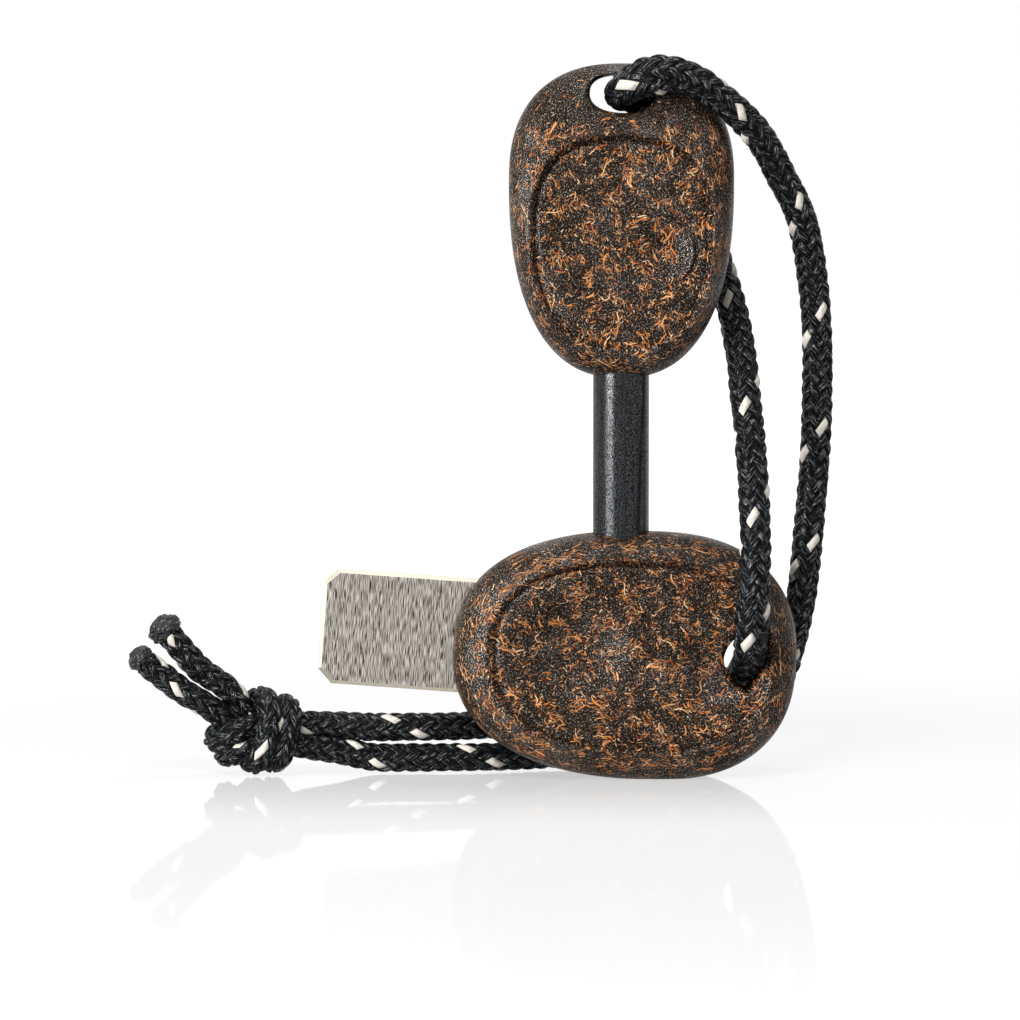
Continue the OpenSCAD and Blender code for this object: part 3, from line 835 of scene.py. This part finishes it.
def new_material(name, **values):
    """A material with one Principled shader, and its nodes."""
    material = bpy.data.materials.new(name)
    material.use_nodes = True
    shader = material.node_tree.nodes["Principled BSDF"]
    for key, value in values.items():
        shader.inputs[key.replace("_", " ")].default_value = value
    return material, Nodes(material.node_tree), shader


def new_group(name, inputs, outputs):
    """A node group with named sockets: {name: (kind, default)} in and {name: kind} out."""
    tree = bpy.data.node_groups.new(name, "ShaderNodeTree")
    for key, (kind, default) in inputs.items():
        socket = tree.interface.new_socket(key, in_out="INPUT", socket_type=kind)
        if default is not None:
            socket.default_value = default
    for key, kind in outputs.items():
        tree.interface.new_socket(key, in_out="OUTPUT", socket_type=kind)
    return tree, Nodes(tree), tree.nodes.new("NodeGroupInput"), tree.nodes.new(
        "NodeGroupOutput")


def colour(text):
    """A colour written as sRGB hex."""
    rgb = [int(text[k:k + 2], 16) / 255 for k in (1, 3, 5)]
    return tuple(c / 12.92 if c <= 0.04045 else ((c + 0.055) / 1.055) ** 2.4
                 for c in rgb) + (1.0,)


def fibre_layer_group():
    """One layer of short bent fibres, one in each cell of a loose grid."""
    number = "NodeSocketFloat"
    tree, n, given, result = new_group("plant_fibres", {
        "Place": ("NodeSocketVector", None), "Cell": (number, 2.0),
        "Length": (number, 1.0), "Width": (number, 0.1), "Bend": (number, 0.3),
        "Flow": (number, 0.0), "Spread": (number, 1.0), "Share": (number, 1.0),
        "Seed": (number, 0.0)},
        {"Mask": number, "Shade": number})
    i = given.outputs
    place = n.vector("ADD", i["Place"], n.join(i["Seed"], n.math("MULTIPLY", i["Seed"], 1.7)))
    scaled = n.add("ShaderNodeVectorMath", {0: place, 1: n.join(
        n.math("DIVIDE", 1.0, i["Cell"]), n.math("DIVIDE", 1.0, i["Cell"]), 0.0)},
        operation="MULTIPLY").outputs[0]
    cell = n.add("ShaderNodeTexVoronoi", {"Vector": scaled, "Scale": 1.0},
                 voronoi_dimensions="2D")
    middle = cell.outputs["Position"]
    chance = n.add("ShaderNodeTexWhiteNoise", {"Vector": n.vector(
        "ADD", middle, n.join(i["Seed"], 3.1))}, noise_dimensions="2D")
    r, g, b = n.split(chance.outputs["Color"])
    dx, dy, _ = n.split(n.vector("SUBTRACT", scaled, middle))
    dx = n.math("MULTIPLY", dx, i["Cell"])
    dy = n.math("MULTIPLY", dy, i["Cell"])
    angle = n.math("MULTIPLY_ADD", n.math("SUBTRACT", r, 0.5),
                   n.math("MULTIPLY", i["Spread"], 2 * math.pi), i["Flow"])
    c, s = n.math("COSINE", angle), n.math("SINE", angle)
    along = n.math("ADD", n.math("MULTIPLY", dx, c), n.math("MULTIPLY", dy, s))
    across = n.math("SUBTRACT", n.math("MULTIPLY", dy, c), n.math("MULTIPLY", dx, s))
    half = n.math("MULTIPLY", i["Length"], n.math("MULTIPLY_ADD", b, 0.4, 0.2))
    share_along = n.math("DIVIDE", along, half)
    square = n.math("MULTIPLY", share_along, share_along)
    bend = n.math("MULTIPLY", n.math("MULTIPLY", n.math("SUBTRACT", g, 0.5), i["Bend"]),
                  n.math("MULTIPLY", square, half))
    off = n.math("ABSOLUTE", n.math("SUBTRACT", across, bend))
    thick = n.math("MULTIPLY", i["Width"], n.math(
        "SQRT", n.math("MAXIMUM", n.math("SUBTRACT", 1.0, square), 0.0)))
    mask = n.math("DIVIDE", n.math("SUBTRACT", thick, off),
                  n.math("MULTIPLY", i["Width"], 0.5), clamp=True)
    second = n.add("ShaderNodeTexWhiteNoise", {"Vector": n.vector(
        "ADD", middle, n.join(7.7, i["Seed"]))}, noise_dimensions="2D")
    kept = n.math("LESS_THAN", second.outputs["Value"], i["Share"])
    n.tree.links.new(n.math("MULTIPLY", mask, kept), result.inputs["Mask"])
    shade = n.split(second.outputs["Color"])[1]
    n.tree.links.new(shade, result.inputs["Shade"])
    return tree


def fibre_plastic():
    """Dark moulded bioplastic full of short orange and tan plant fibres."""
    material, n, shader = new_material(
        "fibre_filled_bioplastic", Roughness=0.5, Specular_IOR_Level=0.04,
        Coat_Roughness=0.24, Coat_IOR=1.62)
    fibres = fibre_layer_group()
    dish_x, dish_y, rich = n.split(n.attribute("dish_place"))
    rim_s, rim_t, rim_mask = n.split(n.attribute("rim_place"))
    place = n.mix(n.math("GREATER_THAN", rim_mask, 0.5), n.join(dish_x, dish_y),
                  n.join(rim_s, rim_t))
    drift = n.noise(place, 0.32, 3.0, 0.6)
    warp = n.add("ShaderNodeTexNoise", {"Vector": place, "Scale": 0.5, "Detail": 1.0})
    place = n.vector("ADD", place, n.add("ShaderNodeVectorMath", {
        0: n.vector("SUBTRACT", warp.outputs["Color"], (0.5, 0.5, 0.5)), "Scale": 0.35},
        operation="SCALE").outputs[0])
    on_rim = n.between(rim_mask, 0.4, 0.6)
    spread = n.math("MULTIPLY_ADD", on_rim, -0.1, 0.36)
    flow = n.math("MULTIPLY", n.math("SUBTRACT", 1.0, on_rim),
                  n.math("MULTIPLY", n.math("SUBTRACT", n.noise(place, 0.13, 1.0), 0.5), 6.0))
    # rich also carries the painted shade and painted sheen that thin the fibres, besides the
    # skin's own richness in fibres.
    plenty = n.math("MULTIPLY", rich, n.between(drift, 0.45, 0.58, 0.02, 1.3))

    grain = n.noise(place, 2.6, 3.0, 0.7)
    specks = n.noise(place, 4.4, 1.0, 0.5)
    skin = n.mix(n.between(grain, 0.38, 0.7), colour("#080402"), colour("#2a1b0c"))
    # Pale grey specks in the skin: partly the skin's own fine grey-brown grain, partly
    # painted glints.
    skin = n.mix(n.between(specks, 0.6, 0.7, 0.0, 0.6), skin, colour("#b0a08e"))
    blush = n.noise(place, 1.1, 3.0, 0.65)
    base = n.mix(n.math("MULTIPLY", n.between(blush, 0.54, 0.66, 0.0, 0.7), plenty), skin,
                 colour("#6e2c0a"))
    height = n.math("MULTIPLY_ADD", grain, 0.5, n.math("MULTIPLY", specks, 0.5))
    # cell, length, width, bend, share, dark and bright colour, seed
    layers = [
        (1.7, 2.6, 0.14, 0.3, 0.7, "#040302", "#0d0906", 97.0),
        (0.55, 1.0, 0.07, 0.4, 0.4, "#3e2413", "#cf9c6c", 3.0),
        (0.8, 1.5, 0.085, 0.5, 0.5, "#5c2a0c", "#e08e48", 17.0),
        (1.25, 2.3, 0.09, 0.5, 0.7, "#73350f", "#f0a45e", 31.0),
        (2.0, 3.0, 0.13, 0.4, 0.45, "#7a3710", "#d8843c", 47.0),
        (3.0, 4.4, 0.1, 1.0, 0.7, "#a06a3a", "#ffd6a4", 61.0),
        (3.6, 3.2, 0.22, 0.2, 0.3, "#8f4512", "#eda25c", 79.0),
        (0.7, 0.9, 0.075, 0.6, 0.28, "#c08a58", "#ffe3c2", 113.0)]
    for cell, length, width, bend, share, dark, bright, seed in layers:
        layer = n.add("ShaderNodeGroup", node_tree=fibres)
        for key, value in (("Place", place), ("Flow", flow), ("Spread", spread),
                           ("Share", n.math("MULTIPLY", plenty, share))):
            n.tree.links.new(value, layer.inputs[key])
        for key, value in (("Cell", cell), ("Length", length), ("Width", width),
                           ("Bend", bend), ("Seed", seed)):
            layer.inputs[key].default_value = value
        mask, shade = layer.outputs["Mask"], layer.outputs["Shade"]
        base = n.mix(mask, base, n.mix(shade, colour(dark), colour(bright)))
        height = n.math("ADD", height, n.math("MULTIPLY", mask, 0.35))
    n.tree.links.new(base, shader.inputs["Base Color"])
    sheen = n.math("MULTIPLY_ADD", n.noise(place, 0.14, 2.0), 0.35, specks)
    n.tree.links.new(n.between(sheen, 0.7, 0.8, 0.03, 1.0), shader.inputs["Coat Weight"])
    n.tree.links.new(n.between(grain, 0.3, 0.75, 0.4, 0.6), shader.inputs["Roughness"])
    normal = n.bump(height, 0.00013, 1.0)
    n.tree.links.new(normal, shader.inputs["Normal"])
    n.tree.links.new(normal, shader.inputs["Coat Normal"])
    return material


def braided_nylon():
    """Black nylon yarn with off-white tracer yarns."""
    material, n, shader = new_material(
        "braided_nylon", Roughness=0.5, Specular_IOR_Level=0.06, Coat_Roughness=0.22,
        Coat_IOR=1.95)
    across, along, tracer = n.split(n.attribute("strand"))
    yarn = n.join(n.math("MULTIPLY", across, 8.0), n.math("MULTIPLY", along, 0.5))
    filaments = n.noise(yarn, 1.0, 3.0, 0.65)
    edge = n.math("ABSOLUTE", n.math("SUBTRACT", across, 0.5))
    # Painted shade: each float turns near-black towards its edges, where the strands dip
    # under each other, and its coat is taken away there.
    unshaded_middle = n.between(edge, 0.3, 0.48, 1.0, 0.0)
    dark = n.mix(n.between(filaments, 0.35, 0.7), colour("#010203"), colour("#12161b"))
    pale = n.mix(filaments, colour("#b8b1a4"), colour("#f6f1e6"))
    is_pale = n.math("GREATER_THAN", tracer, 0.5)
    # Painted shade: the tracer yarn is painted dark grey at its edges too.
    body = n.mix(is_pale, n.mix(unshaded_middle, colour("#010202"), dark),
                 n.mix(n.between(edge, 0.44, 0.5), pale, colour("#57524a")))
    n.tree.links.new(body, shader.inputs["Base Color"])
    n.tree.links.new(n.math("MULTIPLY", unshaded_middle, n.between(filaments, 0.51, 0.61)),
                     shader.inputs["Coat Weight"])
    normal = n.bump(filaments, 0.0003, 1.0)
    n.tree.links.new(normal, shader.inputs["Normal"])
    n.tree.links.new(normal, shader.inputs["Coat Normal"])
    return material


def object_place(n):
    return n.add("ShaderNodeTexCoord").outputs["Object"]


def melted_nylon():
    """Cord end melted to a hard, shiny lump."""
    material, n, shader = new_material("melted_nylon", Roughness=0.2)
    shader.inputs["Specular IOR Level"].default_value = 0.35
    lumps = n.noise(object_place(n), 900.0, 3.0, 0.6)
    n.tree.links.new(n.mix(lumps, colour("#040505"), colour("#141618")),
                     shader.inputs["Base Color"])
    n.tree.links.new(n.bump(lumps, 0.0006, 0.7), shader.inputs["Normal"])
    return material


def ferrocerium():
    """Blackened rod: dark, with fine bright specks and faint drawing lines."""
    material, n, shader = new_material(
        "blackened_ferrocerium", Roughness=0.45, Specular_IOR_Level=0.03,
        Coat_Roughness=0.16, Coat_IOR=1.64)
    place = object_place(n)
    speckle = n.noise(place, 7000.0, 1.0, 0.6)
    x, y, z = n.split(place)
    lines = n.noise(n.join(n.math("MULTIPLY", x, 3000.0), n.math("MULTIPLY", y, 3000.0),
                           n.math("MULTIPLY", z, 60.0)), 1.0, 2.0)
    tone = n.math("MULTIPLY", speckle, lines)
    n.tree.links.new(n.mix(n.between(tone, 0.15, 0.4), colour("#050607"), colour("#14191e")),
                     shader.inputs["Base Color"])
    bright = n.math("MULTIPLY", n.between(speckle, 0.48, 0.56, 0.0, 1.0),
                    n.between(lines, 0.3, 0.6, 0.7, 1.0))
    n.tree.links.new(bright, shader.inputs["Coat Weight"])
    normal = n.bump(speckle, 0.000016, 1.0)
    n.tree.links.new(normal, shader.inputs["Normal"])
    n.tree.links.new(normal, shader.inputs["Coat Normal"])
    return material


def brushed_steel(middle):
    """Steel brushed parallel to the blade's end."""
    material, n, shader = new_material("brushed_steel", Metallic=1.0, Roughness=0.3)
    x, y, z = n.split(n.vector("SUBTRACT", object_place(n), tuple(middle)))
    c, s = math.cos(BLADE_TILT), math.sin(BLADE_TILT)
    along = n.math("SUBTRACT", n.math("MULTIPLY", x, c), n.math("MULTIPLY", z, s))
    up = n.math("ADD", n.math("MULTIPLY", x, s), n.math("MULTIPLY", z, c))
    brushed = n.noise(n.join(n.math("MULTIPLY", along, 17000.0),
                             n.math("MULTIPLY", y, 2000.0),
                             n.math("MULTIPLY", up, 480.0)), 1.0, 0.0, 0.5)
    broad = n.noise(n.join(n.math("MULTIPLY", along, 3800.0), 0.0,
                           n.math("MULTIPLY", up, 110.0)), 1.0, 2.0)
    tone = n.math("ADD", n.math("MULTIPLY", brushed, 0.92), n.math("MULTIPLY", broad, 0.08))
    n.tree.links.new(n.mix(n.between(tone, 0.43, 0.57), colour("#38352f"), colour("#b8b2a9")),
                     shader.inputs["Base Color"])
    n.tree.links.new(n.between(brushed, 0.3, 0.7, 0.3, 0.45), shader.inputs["Roughness"])
    n.tree.links.new(n.bump(brushed, 0.00002, 0.5), shader.inputs["Normal"])
    return material


def ground_steel():
    """The cleaner, brighter steel of the blade's bevels."""
    material, n, shader = new_material("ground_steel", Metallic=1.0, Roughness=0.45)
    streaks = n.noise(object_place(n), 1400.0, 3.0, 0.6)
    n.tree.links.new(n.mix(streaks, colour("#a09888"), colour("#d0c8ba")),
                     shader.inputs["Base Color"])
    return material


plastic = fibre_plastic()
for thing, material in ((rod_grip, plastic), (striker_grip, plastic), (rod, ferrocerium()),
                        (blade, brushed_steel(in_frame([-40, 0, 25]))),
                        (cord, braided_nylon())):
    thing.data.materials.clear()
    thing.data.materials.append(material)
melted = melted_nylon()
for thing in (low_end, high_end):
    thing.data.materials.append(melted)
blade.data.materials.append(ground_steel())
for face in blade.data.polygons:
    face.material_index = 0 if abs(face.normal.y) > 0.98 else 1

# Floor and light


def shows_background(n):
    """1 on the rays that show the background: seen, mirrored or through glass."""
    path = n.add("ShaderNodeLightPath").outputs
    return n.math("MAXIMUM", path["Is Camera Ray"], n.math(
        "MAXIMUM", path["Is Glossy Ray"], path["Is Transmission Ray"]))


def make_floor():
    """White table that keeps the object's shadow and a faint reflection of it."""
    floor = add_mesh("floor", [(-3, -3, 0), (3, -3, 0), (3, 3, 0), (-3, 3, 0)],
                     [(0, 1, 2, 3)], smooth=False)
    floor.location.z = -0.0001
    material = bpy.data.materials.new("white_table")
    material.use_nodes = True
    tree = material.node_tree
    tree.nodes.clear()
    n = Nodes(tree)
    away = n.vector("LENGTH", object_place(n))
    white = n.between(away, 0.1, 0.5, 0.795, 1.12)
    matt = n.add("ShaderNodeBsdfDiffuse", {"Color": (0.17, 0.17, 0.17, 1)})
    glow = n.add("ShaderNodeEmission", {"Color": (1, 1, 1, 1), "Strength": n.math(
        "MULTIPLY", shows_background(n), white)})
    both = n.add("ShaderNodeAddShader", {0: matt.outputs[0], 1: glow.outputs[0]})
    gloss = n.add("ShaderNodeBsdfGlossy", {"Color": (1, 1, 1, 1), "Roughness": 0.04})
    polish = n.between(n.math("ABSOLUTE", n.split(object_place(n))[1]),
                       0.0, 0.07, 0.33, 0.1)
    mixed = n.add("ShaderNodeMixShader", {0: polish, 1: both.outputs[0], 2: gloss.outputs[0]})
    n.add("ShaderNodeOutputMaterial", {0: mixed.outputs[0]})
    floor.data.materials.append(material)


def make_world():
    world = bpy.data.worlds.new("studio")
    bpy.context.scene.world = world
    world.use_nodes = True
    tree = world.node_tree
    tree.nodes.clear()
    n = Nodes(tree)
    strength = n.math("MULTIPLY_ADD", shows_background(n), 0.75, 0.25)
    light = n.add("ShaderNodeBackground", {"Color": (1, 1, 1, 1), "Strength": strength})
    n.add("ShaderNodeOutputWorld", {0: light.outputs[0]})


def softbox(name, place, target, size, power):
    lamp = bpy.data.lights.new(name, "AREA")
    lamp.shape = "RECTANGLE"
    lamp.size, lamp.size_y = size
    lamp.energy = power
    thing = bpy.data.objects.new(name, lamp)
    bpy.context.scene.collection.objects.link(thing)
    thing.location = place
    aim(thing, target)


make_floor()
make_world()
MIDDLE = (0, 0, 0.06)
softbox("left_light", (-0.64, -0.58, 0.16), MIDDLE, (0.46, 0.28), 9.5)
softbox("front_light", (-0.15, -0.58, 0.7), MIDDLE, (0.28, 0.28), 4.6)
softbox("right_light", (0.7, -0.6, 0.35), MIDDLE, (0.4, 0.6), 0.5)
softbox("back_light", (0.05, 0.25, 0.9), MIDDLE, (0.6, 0.4), 3.0)

bpy.context.scene.view_settings.view_transform = "Standard"
